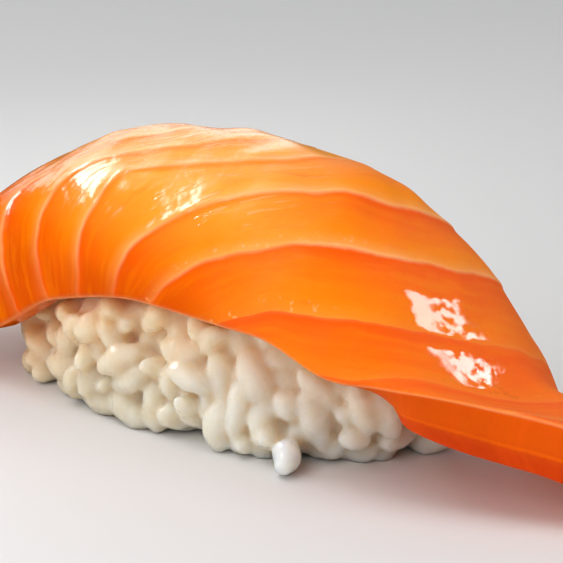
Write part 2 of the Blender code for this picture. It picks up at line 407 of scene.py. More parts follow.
@dataclass(frozen=True)
class FatLines:
    """Fat lines of the flesh. Each curve gives a line's place along X by the distance across
    from the crown, negative in front. More lines follow on either side at even steps."""

    curves: Tuple[Curve, ...] = (
        Curve(((-23, -17.2), (-20, -18.9), (-15, -21.3), (-11.5, -22.5), (-8.5, -23.1), (-6.8, -21.6),
               (-5.2, -16), (-3, -9), (0, -3.5), (5, -0.5), (12, -2), (22, -6))),
        Curve(((-23, -12.2), (-20, -14.0), (-15, -16.1), (-12.5, -16.5), (-10.5, -16.1), (-7.4, -13.2),
               (-5.4, -7), (-3.2, 0), (0, 4.6), (5, 6.6), (12, 5), (22, 1))),
        Curve(((-23, -8.5), (-20, -8.7), (-15, -9.4), (-11.3, -8.4), (-8.3, -7.0), (-7.4, -3.7),
               (-5.3, 4.4), (-3, 9), (0.6, 12), (5, 13.6), (12, 12), (22, 8))),
        Curve(((-23, -4.2), (-20, -3.8), (-17, -2.8), (-15, -1.2), (-12.3, 2.2), (-8.2, 9), (-4.5, 15.3),
               (-2, 18.4), (1.9, 20.6), (7, 21.2), (14, 19.5), (22, 15))),
        Curve(((-23, -0.6), (-20, 1.9), (-17.8, 4.2), (-15.7, 7.1), (-12.3, 13.5), (-8.9, 18.5),
               (-6.2, 21.6), (-2.1, 24.6), (3.5, 26.4), (8, 26.4), (14, 25), (22, 21))),
        Curve(((-23, 6.4), (-21, 9.7), (-18, 14.8), (-15, 19.4), (-12.5, 22.9), (-7.2, 28.4), (-0.6, 31.9),
               (5, 33), (10, 32.2), (15, 30), (22, 26))),
    )
    more: int = 4
    left_step: float = 6.2
    right_step: float = 7.4
    strength: Curve = Curve(((-4, 0.6), (-1, 0.55), (0, 0.75), (1, 0.95), (3, 1.0), (4, 0.85), (5, 0.16),
                             (5.5, 0.1), (6.5, 0.08), (7, 0.3), (9, 0.4)))

    def places(self, across: np.ndarray) -> np.ndarray:
        """Where the lines lie.

        Args:
            across: Distances across from the crown, in mm, negative in front.

        Returns:
            For each line in turn, its places along X, in mm.
        """
        named = [curve.at(across) for curve in self.curves]
        left = [named[0] - self.left_step * n for n in range(self.more, 0, -1)]
        right = [named[-1] + self.right_step * n for n in range(1, self.more + 1)]
        return np.stack(left + named + right)

    def band(self, along: np.ndarray, across: np.ndarray) -> np.ndarray:
        """Count the lines up to each point.

        Args:
            along: Places along X, in mm.
            across: Distances across from the crown, in mm.

        Returns:
            The band, which is whole at each line and rises evenly between two lines.
        """
        lines = self.places(across)
        i = np.clip((lines <= along[None]).sum(0) - 1, 0, len(lines) - 2)
        here = np.take_along_axis(lines, i[None], 0)[0]
        after = np.take_along_axis(lines, i[None] + 1, 0)[0]
        return i - self.more + np.clip((along - here) / (after - here), -1.0, 1.99)


def spacing(points: np.ndarray, values: np.ndarray) -> np.ndarray:
    """Distance over a surface for a value to rise by one.

    Args:
        points: Grid of points, in mm.
        values: A value for each point.

    Returns:
        The distance at each point, in mm.
    """
    first, second = np.gradient(points, axis=0), np.gradient(points, axis=1)
    rise_1, rise_2 = np.gradient(values, axis=0), np.gradient(values, axis=1)
    e, f, g = (first ** 2).sum(-1), (first * second).sum(-1), (second ** 2).sum(-1)
    area = np.maximum(e * g - f * f, 1e-9)
    slope = (g * rise_1 ** 2 - 2 * f * rise_1 * rise_2 + e * rise_2 ** 2) / area
    return 1 / np.sqrt(np.maximum(slope, 0.0025))


def waves(points: np.ndarray, seed: int, size: float, count: int = 24) -> np.ndarray:
    """Smooth seeded unevenness made of sine waves.

    Args:
        points: Points in mm.
        seed: Seed of the waves' directions and phases.
        size: Rough size of a bump, in mm.
        count: How many waves are added.

    Returns:
        A value for each point, mostly between -1 and 1.
    """
    rng = np.random.default_rng(seed)
    total = np.zeros(points.shape[:-1])
    for _ in range(count):
        direction = rng.normal(size=3)
        direction /= np.linalg.norm(direction)
        length = size * rng.uniform(1.4, 3.4)
        total += np.sin(points @ direction * (2 * math.pi / length) + rng.uniform(0, 2 * math.pi))
    return total / math.sqrt(count)


# ---------------------------------------------------------------- mesh helpers

def unit_ball(fineness: int) -> Tuple[np.ndarray, np.ndarray]:
    """Ball of radius 1.

    Args:
        fineness: How many times its triangles are divided.

    Returns:
        Its points and its triangles.
    """
    bm = bmesh.new()
    bmesh.ops.create_icosphere(bm, subdivisions=fineness, radius=1.0)
    points = np.array([vert.co for vert in bm.verts])
    faces = np.array([[vert.index for vert in face.verts] for face in bm.faces])
    bm.free()
    return points, faces


def edge_ends(mesh: bpy.types.Mesh) -> np.ndarray:
    """The two points of each edge of a mesh."""
    ends = np.empty(len(mesh.edges) * 2, np.int32)
    mesh.edges.foreach_get("vertices", ends)
    return ends.reshape(-1, 2)


def store(mesh: bpy.types.Mesh, stored: Mapping[str, np.ndarray]) -> None:
    """Store values on a mesh's points.

    Args:
        mesh: The mesh.
        stored: A value for each point, by the name to store it under.
    """
    for name, values in stored.items():
        layer = mesh.attributes.new(name, "FLOAT", "POINT")
        layer.data.foreach_set("value", np.ascontiguousarray(values, np.float32).ravel())


# ---------------------------------------------------------------- finishes

@dataclass(frozen=True)
class FleshFinish:
    """Wet raw salmon: bands of orange between soft, pale lines of fat."""

    deep: Colour = (0.93, 0.105, 0.0003)
    middle: Colour = (1.0, 0.175, 0.0004)
    light: Colour = (1.0, 0.265, 0.001)
    fat: Colour = (1.0, 0.47, 0.19)
    cut_face: Colour = (0.73, 0.090, 0.0003)
    shaded_bevel: Colour = (0.66, 0.052, 0.0003)
    painted_crown_sheen: Colour = (0.97, 0.43, 0.04)
    shade: Colour = (0.64, 0.074, 0.0003)
    rough: float = 0.08
    crease: float = 0.62

    def material(self) -> bpy.types.Material:
        """Build the material.

        Returns:
            The material, which reads the slice's stored values.
        """
        g = Graph("salmon_flesh")
        place = g.place()
        across, along = g.attribute("across"), g.attribute("along")
        depth, cut = g.attribute("depth"), g.attribute("cut")
        height, pitch = g.attribute("height"), g.attribute("pitch")
        band = g.attribute("band") + (g.noise(place, 300.0, 3.0) - 0.5) * 0.10
        part = band.math("FRACT")
        after, before = part * pitch, (1.0 - part) * pitch
        fibre_place = g.combine(band * 6.0, along * 0.11, across * 0.11)
        fibre = g.noise(fibre_place, 1.0, 3.0, 0.6)
        crown = height.between(17.0, 25.0) * (1.0 - along.between(6.0, 21.0))
        # Painted shade and light of the flakes: deep just past each line, lighter towards the next.
        flesh = g.mix(part.between(0.0, 0.50), self.deep, self.middle)
        flesh = g.mix(part.between(0.40, 1.0), flesh, self.light)
        # Painted sheen and glow: the crown is drawn paler and yellower.
        flesh = g.mix(crown * 0.75, flesh, self.painted_crown_sheen)
        # Painted shade: darker towards the bottom of the drape.
        flesh = g.mix((1.0 - height.between(9.0, 21.0)) * 0.5, flesh, self.deep)
        flesh = g.mix(along.between(19.0, 34.0) * 0.25, flesh, self.deep)
        # Painted shade on the lower left of the slice.
        low = (1.0 - height.between(13.0, 20.0)) * (1.0 - along.between(2.0, 16.0))
        flesh = g.mix(low * along.between(-28.0, -22.0) * 0.9, flesh, self.shade)
        flesh = g.mix((1.0 - along.between(-31.0, -25.0)) * 0.5, flesh, self.light)
        flesh = g.mix(fibre.between(0.42, 0.72) * 0.30, flesh, self.light)
        flesh = g.mix((1.0 - fibre.between(0.26, 0.42)) * 0.30, flesh, self.deep)
        flesh = g.mix(g.noise(place, 120.0, 3.0).between(0.45, 0.8) * 0.25, flesh, self.deep)
        # Painted shadow just past each line, where the flake drops.
        flesh = g.mix((1.0 - after.between(0.2, 1.2)) * 0.35, flesh, self.deep)
        # Painted glints: pale wet dashes on the crown, drawn in the fat colour and also raised by a bump.
        glint_dashes = g.noise(fibre_place, 2.1, 2.0, 0.5).between(0.60, 0.70) * crown
        glint_dashes = glint_dashes * across.between(-15.0, -11.0) * (1.0 - across.between(-2.0, 2.0))
        colour = g.mix(glint_dashes * 0.45, flesh, self.fat)
        colour = g.mix(cut.between(0.25, 0.8), colour, self.side(g, depth, cut, fibre))
        # Painted highlight along the rounded edge between the top face and the cut sides, drawn in the fat
        # colour.
        rim_highlight = cut.between(0.0, 0.45) * (1.0 - cut.between(0.5, 1.0))
        colour = g.mix(rim_highlight * 0.35, colour, self.fat)
        fleck = g.noise(place, 1300.0, 1.0).between(0.62, 0.70) * (1.0 - before.between(0.4, 1.8))
        fleck = fleck * band.between(3.4, 3.9) * (1.0 - band.between(5.0, 5.4)) * (1.0 - cut)
        colour = g.mix(fleck * 0.5 * (1.0 - along.between(19.0, 24.0)), colour, self.fat)
        line = self.line(g, place, after, before) * (1.0 - cut)
        colour = g.mix(line.clamped(), colour, self.fat)
        ripple = g.noise(place, 1100.0, 2.0, 0.5)
        pits = g.noise(place, 1900.0, 1.0).between(0.60, 0.72) * along.between(20.0, 26.0)
        normal = g.bump(g.noise(place, 330.0, 2.0, 0.5), 0.00055, 0.30)
        normal = g.bump(ripple, 0.00012, 0.30, normal)
        normal = g.bump(fibre + glint_dashes * 0.8, 0.00012, 0.5, normal)
        normal = g.bump(pits, 0.00008, 0.35, normal)
        film = self.film(g, place)
        dry = along.between(6.0, 20.0) * 0.70
        rough = ripple * 0.10 + self.rough + dry + height.between(22.0, 26.0) * 0.14
        return g.finish({"Base Color": colour, "Roughness": rough, "Normal": normal,
                         "Specular IOR Level": 0.26, "Subsurface Weight": 0.30,
                         "Subsurface Radius": (1.0, 0.30, 0.06), "Subsurface Scale": 0.0028,
                         "IOR": 1.42, "Coat Weight": film, "Coat IOR": 1.5,
                         "Coat Roughness": 0.08})

    @staticmethod
    def film(g: Graph, place: bpy.types.NodeSocket) -> Signal:
        """Cover of the wet film that lies in torn patches low on the right slope.

        Args:
            g: The material's graph.
            place: Place on the object.

        Returns:
            The cover, from 0 to 1.
        """
        along, band = g.attribute("along"), g.attribute("band")
        skew = g.attribute("across") + (along - 29.0) * 0.6
        upper = band.between(4.36, 4.52) * (1.0 - band.between(4.90, 5.00))
        lower = band.between(5.10, 5.26) * (1.0 - band.between(5.80, 6.00))
        patch = skew.between(-8.6, -5.6) * (1.0 - skew.between(-1.6, 3.0)) * (upper + lower)
        torn = (patch + (g.noise(place, 520.0, 3.0) - 0.5) * 2.2).between(0.44, 0.80)
        torn = torn * patch.between(0.0, 0.3)
        holes = (1.0 - g.noise(place, 1000.0, 2.0).between(0.40, 0.56)) * skew.between(-6.4, -3.8)
        return torn * (1.0 - holes)

    @staticmethod
    def line(g: Graph, place: bpy.types.NodeSocket, after: Signal, before: Signal) -> Signal:
        """Cover of the fat lines, which fade softly before a line and end sharply after it.

        Args:
            g: The material's graph.
            place: Place on the object.
            after: Distance past the last line, in mm.
            before: Distance to the next line, in mm.

        Returns:
            The cover, from 0 to 1.
        """
        width = g.noise(place, 130.0, 2.0) * 0.9 + 0.25
        rising = (1.0 - before.between(0.0, width)) * 0.75
        falling = (1.0 - after.between(0.0, 0.40)) * 0.75
        glow = (1.0 - before.between(0.0, 2.2)) ** 2.0 * 0.35
        patchy = g.noise(place, 85.0, 2.0).between(0.30, 0.62) * 0.5 + 0.5
        return rising.math("MAXIMUM", falling).math("MAXIMUM", glow) * patchy * g.attribute("strength")

    def side(self, g: Graph, depth: Signal, cut: Signal, fibre: Signal) -> bpy.types.NodeSocket:
        """Colour of the cut sides, with a faint crease over a darker, redder bevel in painted shade.

        Args:
            g: The material's graph.
            depth: Depth under the top face, 0 to 1.
            cut: 1 on the cut sides.
            fibre: Streaks of muscle.

        Returns:
            The colour.
        """
        # Painted shade: the lower bevel of the cut sides is drawn darker and redder.
        side = g.mix(depth.between(0.45, 0.85), self.cut_face, self.shaded_bevel)
        side = g.mix(fibre.between(0.5, 0.8) * 0.25, side, self.deep)
        # Painted light: the cut side is lighter towards the left end, where it faces away from the lamps.
        side = g.mix((1.0 - g.attribute("along").between(-26.0, -10.0)) * 0.8, side, self.middle)
        crease = (1.0 - abs(depth - self.crease).between(0.0, 0.06)) * cut
        return g.mix(crease * 0.35, side, self.middle)


@dataclass(frozen=True)
class RiceFinish:
    """Moist cooked rice, slightly translucent, with a pearly skin."""

    pearl: Colour = (0.695, 0.65, 0.545)
    cream: Colour = (0.72, 0.58, 0.39)
    salmon_bounce: Colour = (0.92, 0.58, 0.29)
    low_left_shade: Colour = (0.61, 0.52, 0.38)
    loose: Colour = (0.75, 0.79, 0.75)
    crest: Colour = (0.73, 0.705, 0.63)

    def material(self) -> bpy.types.Material:
        """Build the material.

        Returns:
            The material.
        """
        g = Graph("cooked_rice")
        place = g.place()
        near, hollow = g.attribute("near_salmon"), g.attribute("hollow")
        tone = g.noise(place, 190.0, 2.0)
        right = g.attribute("along").between(-4.0, 12.0)
        colour = g.mix(right * 0.7, self.pearl, self.crest)
        colour = g.mix(tone.between(0.35, 0.65) * (0.65 - right * 0.25), colour, self.cream)
        # Painted shade: points recessed inside the outline and creases between grains are drawn tan.
        colour = g.mix(g.attribute("inset").between(0.5, 2.8) * 0.5, colour, self.cream)
        colour = g.mix(hollow.between(0.02, 0.30) * 0.55, colour, self.cream)
        # Painted highlight on the grains' crests.
        colour = g.mix((0.0 - hollow).between(0.03, 0.30) * 0.35, colour, self.crest)
        # Painted shade: the foot of the rice on the left is drawn darker.
        foot = 1.0 - g.attribute("height").between(3.0, 9.0)
        low = foot * (1.0 - g.attribute("along").between(-8.0, 8.0))
        colour = g.mix(low * 0.75, colour, self.low_left_shade)
        # Painted bounce light: orange light from the slice warms the rice near it.
        colour = g.mix(near * (0.85 - right * 0.25), colour, self.salmon_bounce)
        colour = g.mix(g.attribute("loose"), colour, self.loose)
        skin = g.noise(place, 700.0, 3.0, 0.6)
        normal = g.bump(skin, 0.00014, 0.5)
        normal = g.bump(g.noise(place, 2400.0, 2.0), 0.00003, 0.5, normal)
        return g.finish({"Base Color": colour, "Roughness": skin * 0.16 + 0.20, "Normal": normal,
                         "Specular IOR Level": 0.42, "Subsurface Weight": 1.0,
                         "Subsurface Radius": (1.0, 0.84, 0.62), "Subsurface Scale": 0.0046,
                         "IOR": 1.40})


@dataclass(frozen=True)
class FloorFinish:
    """Plain pale floor."""

    colour: Colour = (0.76, 0.755, 0.745)
    rough: float = 0.6

    def material(self) -> bpy.types.Material:
        """Build the material."""
        g = Graph("floor")
        return g.finish({"Base Color": self.colour, "Roughness": self.rough})


# ---------------------------------------------------------------- slice of salmon

class Face(Enum):
    """Stretches of the slice's cross-section."""

    TOP = 0
    BACK = 1
    UNDER = 2
    FRONT = 3


@dataclass
class SalmonSlice:
    """The draped slice, as one closed mesh."""

    form: SliceForm = field(default_factory=SliceForm)
    lines: FatLines = field(default_factory=FatLines)
    finish: FleshFinish = field(default_factory=FleshFinish)
    rings: int = 380
    top_points: int = 186
    under_points: int = 20
    corner: float = 0.03
    corner_depth: float = 0.10
    flake_rise: float = 0.16
    flake_edge: float = 0.50
    fat_ridge: float = 0.09
    sag: float = 0.15
    crest_lumps: float = 0.12
    crest_from: float = 21.0
    skin_depth: float = 0.25
    least_pitch: float = 1.2
    most_pitch: float = 11.0
    walk_points: int = 161
    sharp_angle: float = 60.0

    def section(self) -> Tuple[np.ndarray, np.ndarray, np.ndarray]:
        """Walk once round the cross-section.

        Returns:
            v, depth and face of each point.
        """
        flat = 1 - self.corner
        top = np.linspace(-flat, flat, self.top_points)
        down = self.side_walk()
        under_v = 1 - self.form.under_bevel - self.corner
        under = np.linspace(under_v, -under_v, self.under_points)
        v = np.concatenate([top, down[0], under, -down[0][::-1]])
        depth = np.concatenate([0 * top, down[1], 0 * under + 1, down[1][::-1]])
        faces = [Face.TOP] * len(top) + [Face.BACK] * len(down[0])
        faces += [Face.UNDER] * len(under) + [Face.FRONT] * len(down[0])
        return v, depth, np.array([face.value for face in faces])

    def side_walk(self) -> Tuple[np.ndarray, np.ndarray]:
        """Walk down a cut side from the top face to the underside, round its two corners.

        Returns:
            v and depth of each point.
        """
        turn = np.linspace(0, math.pi / 2, 5)[1:]
        crease, bevel = self.form.crease_depth, self.form.under_bevel
        upper_v = 1 - self.corner * (1 - np.sin(turn))
        upper_d = self.corner_depth * (1 - np.cos(turn))
        face_d = np.linspace(self.corner_depth, crease, 7)[1:]
        low_d = np.linspace(crease, 1 - self.corner_depth, 5)[1:]
        low_v = 1 - bevel * (low_d - crease) / (1 - crease)
        end_v = low_v[-1]
        round_v = end_v - (self.corner + end_v - (1 - bevel)) * (1 - np.cos(turn[:-1]))
        round_d = 1 - self.corner_depth * (1 - np.sin(turn[:-1]))
        return (np.concatenate([upper_v, 0 * face_d + 1, low_v, round_v]),
                np.concatenate([upper_d, face_d, low_d, round_d]))

    def relief(self, points: np.ndarray, band: np.ndarray, pitch: np.ndarray,
               strength: np.ndarray) -> np.ndarray:
        """Height of the flakes over the plain form, in mm. A flake climbs to its next line
        and drops just past it.

        Args:
            points: Points in mm.
            band: Band of each point.
            pitch: Distance between lines at each point, in mm.
            strength: How strong the nearest line is, from 0 to 1.

        Returns:
            The height of each point.
        """
        part = band - np.floor(band)
        after, before = part * pitch, (1 - part) * pitch
        rise = np.clip(part, 0, 1) ** 2.2 - 0.3
        step = np.exp(-after / self.flake_edge)
        ridge = np.exp(-(np.where(part > 0.5, before / 0.6, after / 0.25)) ** 2)
        fine = waves(points, 5, 1.7) * 0.015 + waves(points, 6, 3.4) * 0.045
        crest = np.clip((points[..., 2] - self.crest_from) / 4, 0, 1)
        return (self.flake_rise * (rise + step) * strength + self.fat_ridge * ridge * strength
                + self.sag * waves(points, 4, 7.0) + fine
                + self.crest_lumps * waves(points, 8, 2.2) * crest)

    def build(self) -> bpy.types.Object:
        """Make the slice and put its finish on.

        Returns:
            The slice's object.
        """
        v, depth, face = self.section()
        s = np.linspace(0, 1, self.rings)
        s2, v2 = np.meshgrid(s, v, indexing="ij")
        depth2 = np.broadcast_to(depth, s2.shape)
        top = self.form.top(s2, self.form.narrowed(s2, v2))
        across = self.across(s, v)
        band = self.lines.band(top[..., 0], across)
        pitch = np.clip(spacing(top, band), self.least_pitch, self.most_pitch)
        strength = self.strength(band, across)
        cut = np.isin(face, (Face.BACK.value, Face.FRONT.value)).astype(float)
        cut = cut * np.clip(depth / self.corner_depth, 0, 1)
        skin = np.clip(1 - depth / self.skin_depth, 0, 1)
        points = self.form.point(s2, v2, depth2)
        lift = self.relief(top, band, pitch, strength) * skin[None, :]
        lift *= 1 - 0.5 * self.form.end_share(s2)
        normal = self.form.normal(s2, self.form.narrowed(s2, v2))
        points = points + normal * lift[..., None]
        stored = {"across": across, "along": top[..., 0], "band": band, "pitch": pitch,
                  "strength": strength, "cut": np.broadcast_to(cut, s2.shape), "depth": depth2,
                  "height": top[..., 2]}
        piece = self.mesh(points, stored)
        piece.data.materials.append(self.finish.material())
        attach(piece, "root")
        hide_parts("salmon")
        LOG.info("salmon_slice: %d faces", len(piece.data.polygons))
        return piece

    def strength(self, band: np.ndarray, across: np.ndarray) -> np.ndarray:
        """How strong the lines are, which fade on the crown's left half and at the front edge.

        Args:
            band: Band of each point.
            across: Distance of each point across from the crown, in mm.

        Returns:
            The strength, from 0 to 1.
        """
        plain = self.lines.strength.at(band)
        on_crown = np.exp(-((across - 0.5) / 6.2) ** 2) * np.clip(2.4 - band, 0, 1)
        low = np.clip((across + 22.0) / 5.5, 0.35, 1)
        faint = 1 - 0.3 * np.clip((-12 - across) / 4, 0, 1) * np.clip(3 - band, 0, 1)
        return plain * (1 - 0.95 * on_crown) * low * faint

    def across(self, s: np.ndarray, v: np.ndarray) -> np.ndarray:
        """Distance across the top face from the crown, in mm, negative in front.

        Args:
            s: Places of the rings.
            v: Places round the section.

        Returns:
            The distance for each ring and section point.
        """
        walk = np.linspace(-1, 1, self.walk_points)
        s2, walk2 = np.meshgrid(s, walk, indexing="ij")
        top = self.form.top(s2, walk2)
        run = np.cumsum(np.linalg.norm(np.diff(top, axis=1), axis=2), axis=1)
        run = np.concatenate([np.zeros((len(s), 1)), run], axis=1)
        run -= run[:, self.walk_points // 2, None]
        return np.stack([np.interp(v, walk, row) for row in run])

    def mesh(self, points: np.ndarray, stored: Mapping[str, np.ndarray]) -> bpy.types.Object:
        """Join the rings into a closed mesh.

        Args:
            points: Points by ring and place round the section, in mm.
            stored: Values to store on the points.

        Returns:
            The object.
        """
        rings, around = points.shape[:2]
        index = np.arange(rings * around).reshape(rings, around)
        nxt = np.roll(index, -1, axis=1)
        quads = np.stack([index[:-1], index[1:], nxt[1:], nxt[:-1]], -1).reshape(-1, 4)
        mesh = bpy.data.meshes.new("salmon_slice")
        ends = [index[0].tolist(), index[-1][::-1].tolist()]
        mesh.from_pydata((points.reshape(-1, 3) * MM).tolist(), [], quads.tolist() + ends)
        store(mesh, stored)
        outward(mesh)
        mesh.shade_smooth()
        mesh.set_sharp_from_angle(angle=math.radians(self.sharp_angle))
        piece = bpy.data.objects.new("salmon_slice", mesh)
        bpy.context.scene.collection.objects.link(piece)
        return piece


def outward(mesh: bpy.types.Mesh) -> None:
    """Turn a closed mesh's faces outwards."""
    bm = bmesh.new()
    bm.from_mesh(mesh)
    bmesh.ops.recalc_face_normals(bm, faces=bm.faces)
    bm.to_mesh(mesh)
    bm.free()


# ---------------------------------------------------------------- loaf of rice

@dataclass(frozen=True)
class LoafForm:
    """Outline of the hand-pressed loaf, in mm."""

    half_length: float = 26.2
    half_width: float = 12.3
    squareness: float = 2.6
    profile: Curve = Curve(((0, 0.90), (3, 0.965), (8, 1.0), (13, 0.99), (18, 0.90), (24, 0.62)))
    flare_left: float = 0.05
    lumps: float = 1.25
    knots: float = 0.45
    covered: float = 12.0
    fade: float = 4.0
    lump_size: float = 4.2
    knot_size: float = 1.8

    def unevenness(self, points: np.ndarray) -> np.ndarray:
        """How far the pressed clumps stand out of the plain outline, in mm. High up, none do,
        so that the slice covers them.

        Args:
            points: Points in mm.

        Returns:
            The distance at each point, negative in the hollows between clumps.
        """
        lump = self.lumps * waves(points, 9, self.lump_size)
        lump = lump + self.knots * waves(points, 10, self.knot_size)
        free = np.clip((self.covered - points[:, 2]) / self.fade, 0, 1)
        return np.where(lump > 0, lump * free, lump)

    def inset(self, points: np.ndarray) -> Tuple[np.ndarray, np.ndarray]:
        """How far points lie inside the outline.

        Args:
            points: Points in mm.

        Returns:
            The distance inside, and the level direction outwards.
        """
        def radius(p: np.ndarray) -> np.ndarray:
            """Size of the outline that passes through each point, 1 on the loaf's own."""
            swell = self.profile.at(p[:, 2])
            lean = 1 + self.flare_left * p[:, 2] / self.half_length * (p[:, 0] < 0)
            x = np.abs(p[:, 0]) / (self.half_length * swell * lean)
            y = np.abs(p[:, 1]) / (self.half_width * swell)
            return (x ** self.squareness + y ** self.squareness) ** (1 / self.squareness)
        step = 0.01
        here = radius(points)
        grad_x = (radius(points + (step, 0, 0)) - here) / step
        grad_y = (radius(points + (0, step, 0)) - here) / step
        size = np.maximum(np.hypot(grad_x, grad_y), 1e-3)
        out = np.stack([grad_x / size, grad_y / size, 0 * size], -1)
        return (1 - here) / size + self.unevenness(points), out


@dataclass(frozen=True)
class GrainForm:
    """A cooked grain: plump, a little flat, bent and tapered. Sizes in mm."""

    half_length: float = 2.95
    half_width: float = 1.32
    half_thickness: float = 1.16
    broken: float = 0.22
    broken_lengths: Tuple[float, float] = (0.52, 0.7)
    whole_lengths: Tuple[float, float] = (0.85, 1.12)
    widths: Tuple[float, float] = (0.85, 1.15)
    thicknesses: Tuple[float, float] = (0.90, 1.12)
    most_bend: float = 0.30
    most_taper: float = 0.16
    most_dent: float = 0.2
    wrinkle: float = 0.13
    fineness: int = 3

    def shaped(self, ball: np.ndarray, centre: np.ndarray, axis: np.ndarray,
               rng: np.random.Generator, size: float = 1.0) -> np.ndarray:
        """Shape and place one grain.

        Args:
            ball: Points of the unit ball.
            centre: The grain's centre.
            axis: Its long axis.
            rng: Seeded random numbers.
            size: How many times the usual size.

        Returns:
            The grain's points.
        """
        x, y, z = ball.T
        is_broken = rng.random() < self.broken
        length = self.half_length * rng.uniform(*(self.broken_lengths if is_broken else self.whole_lengths))
        width = self.half_width * rng.uniform(*self.widths)
        thick = self.half_thickness * rng.uniform(*self.thicknesses)
        bend = rng.uniform(-self.most_bend, self.most_bend)
        taper = rng.uniform(-self.most_taper, self.most_taper)
        plump = (1 + 0.12 * (1 - z * z)) * (1 + taper * z)
        dent = 1 - rng.uniform(0.0, self.most_dent) * np.exp(-((z - 0.8) / 0.3) ** 2) * np.maximum(0, x)
        grain = np.stack([x * thick * plump * dent + bend * (z * z - 0.4), y * width * plump,
                          z * length], -1)
        grain += waves(grain, int(rng.integers(1 << 30)), 1.1, 8)[:, None] * ball * self.wrinkle
        spin = Matrix.Rotation(rng.uniform(0, 2 * math.pi), 3, "Z")
        turn = np.array(Vector(axis).to_track_quat("Z", "Y").to_matrix() @ spin)
        return size * grain @ turn.T + centre


@dataclass
class RiceLoaf:
    """Grains settled in the loaf's outline over a core, stuck together into one mesh."""

    form: LoafForm = field(default_factory=LoafForm)
    grain: GrainForm = field(default_factory=GrainForm)
    finish: RiceFinish = field(default_factory=RiceFinish)
    seed: int = 11
    grains: int = 460
    tries: int = 30
    sown_half: Tuple[float, float] = (28.0, 14.0)
    sown_top: float = 21.0
    spread: float = 1.6
    side_tilt: float = 0.45
    ball: float = 1.28
    touching: float = 0.86
    off_wall: float = 0.80
    off_floor: float = 0.93
    off_slice: float = 0.98
    reach: float = 1.45
    shell: float = 4.3
    floor_layer: float = 2.6
    rounds: int = 60
    voxel: float = 0.22
    triangles: int = 190000
    glue: float = 0.09
    melt: float = 3.2
    core_inset: Curve = Curve(((0, 3.6), (6, 3.2), (11, 2.2), (22, 2.0)))
    core_clearance: float = 1.3
    core_bottom: float = 0.6
    core_height: float = 21.0
    core_fineness: int = 5
    stagger: float = 0.75
    lean: float = 0.8
    lean_spread: float = 0.9
    clearance: float = 0.15
    bounce_reach: float = 9.0
    skin: float = 0.035
    loose: Tuple[Tuple[float, float, float], ...] = ((16.8, -11.6, 1.6), (13.1, -10.2, 2.7))
    loose_axis: Tuple[float, float, float] = (0.60, -0.76, 0.15)
    loose_size: float = 1.08
    pale: Tuple[float, float, float] = (17.7, -12.9, 1.8)
    pale_reach: float = 2.9

    def roof(self) -> BVHTree:
        """Search tree of the slice's solid, in mm."""
        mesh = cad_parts["salmon"].data
        points = [vert.co / MM for vert in mesh.vertices]
        return BVHTree.FromPolygons(points, [tuple(face.vertices) for face in mesh.polygons])

    def below(self, roof: BVHTree, points: np.ndarray) -> Tuple[np.ndarray, np.ndarray]:
        """How far points are from the slice.

        Args:
            roof: Search tree of the slice.
            points: Points in mm.

        Returns:
            Distances, negative inside the slice, and the directions away from it.
        """
        gaps = np.empty(len(points))
        ways = np.empty((len(points), 3))
        for i, point in enumerate(points):
            spot = Vector(point)
            near, normal, _, distance = roof.find_nearest(spot)
            way = spot - near
            outside = way.dot(normal) >= 0
            gaps[i] = distance if outside else -distance
            ways[i] = way.normalized() * (1 if outside else -1) if distance > 0.05 else normal
        return gaps, ways

    def sow(self, roof: BVHTree, rng: np.random.Generator) -> Tuple[np.ndarray, np.ndarray]:
        """Drop grains into the loaf's shell.

        Args:
            roof: Search tree of the slice.
            rng: Seeded random numbers.

        Returns:
            Centres and long axes.
        """
        up, down = Vector((0, 0, 1)), Vector((0, 0, -1))
        half_x, half_y = self.sown_half
        spots = rng.uniform((-half_x, -half_y, self.ball), (half_x, half_y, self.sown_top),
                            (self.tries * self.grains, 3))
        depth, out = self.form.inset(spots)
        wanted = (depth > self.ball) & ((depth < self.shell) | (spots[:, 2] < self.floor_layer))
        centres, axes = np.empty((0, 3)), []
        for spot, side in zip(spots[wanted], out[wanted]):
            if len(centres) == self.grains:
                break
            if np.any(np.linalg.norm(centres - spot, axis=1) < self.spread):
                continue
            if roof.ray_cast(Vector(spot), down)[0] is not None:
                continue
            if self.below(roof, spot[None])[0][0] < self.ball:
                continue
            tangent = Vector(side).cross(up)
            roll, tilt = rng.normal(self.lean, self.lean_spread), rng.normal(0, self.side_tilt)
            axis = tangent * math.cos(roll) + up * math.sin(roll)
            axis = axis * math.cos(tilt) + Vector(side) * math.sin(tilt)
            centres = np.vstack([centres, spot])
            axes.append(np.array(axis.normalized()))
        return centres, np.array(axes)

    def settle(self, centres: np.ndarray, axes: np.ndarray,
               roof: BVHTree) -> Tuple[np.ndarray, np.ndarray]:
        """Push grains apart and keep them in the outline, over the floor and under the slice.

        Args:
            centres: Centres of the grains.
            axes: Their long axes.
            roof: Search tree of the slice.

        Returns:
            Settled centres and axes.
        """
        arms = np.array([-self.reach, 0.0, self.reach])
        owner = np.repeat(np.arange(len(centres)), len(arms))
        touch = 2 * self.ball * self.touching
        stagger = self.stagger * np.random.default_rng(self.seed).random(len(centres))
        depths = np.repeat(self.ball * self.off_wall + stagger, len(arms))
        for turn in range(self.rounds):
            balls = (centres[:, None] + axes[:, None] * arms[None, :, None]).reshape(-1, 3)
            shift = self.pair_pushes(balls, owner, touch)
            depth, out = self.form.inset(balls)
            shift -= out * np.maximum(0, depths - depth)[:, None]
            shift[:, 2] += np.maximum(0, self.ball * self.off_floor - balls[:, 2])
            if turn % 3 == 2:
                gap, way = self.below(roof, balls)
                way -= out * np.maximum(0, (way * out).sum(1))[:, None]
                way[:, 2] -= 0.3
                shift += way * np.maximum(0, self.ball * self.off_slice - gap)[:, None]
            shift = shift.reshape(-1, len(arms), 3)
            centres = centres + shift.mean(axis=1) * 0.9
            axes = axes + (shift[:, 2] - shift[:, 0]) * (0.35 / self.reach)
            axes /= np.linalg.norm(axes, axis=1, keepdims=True)
        return centres, axes

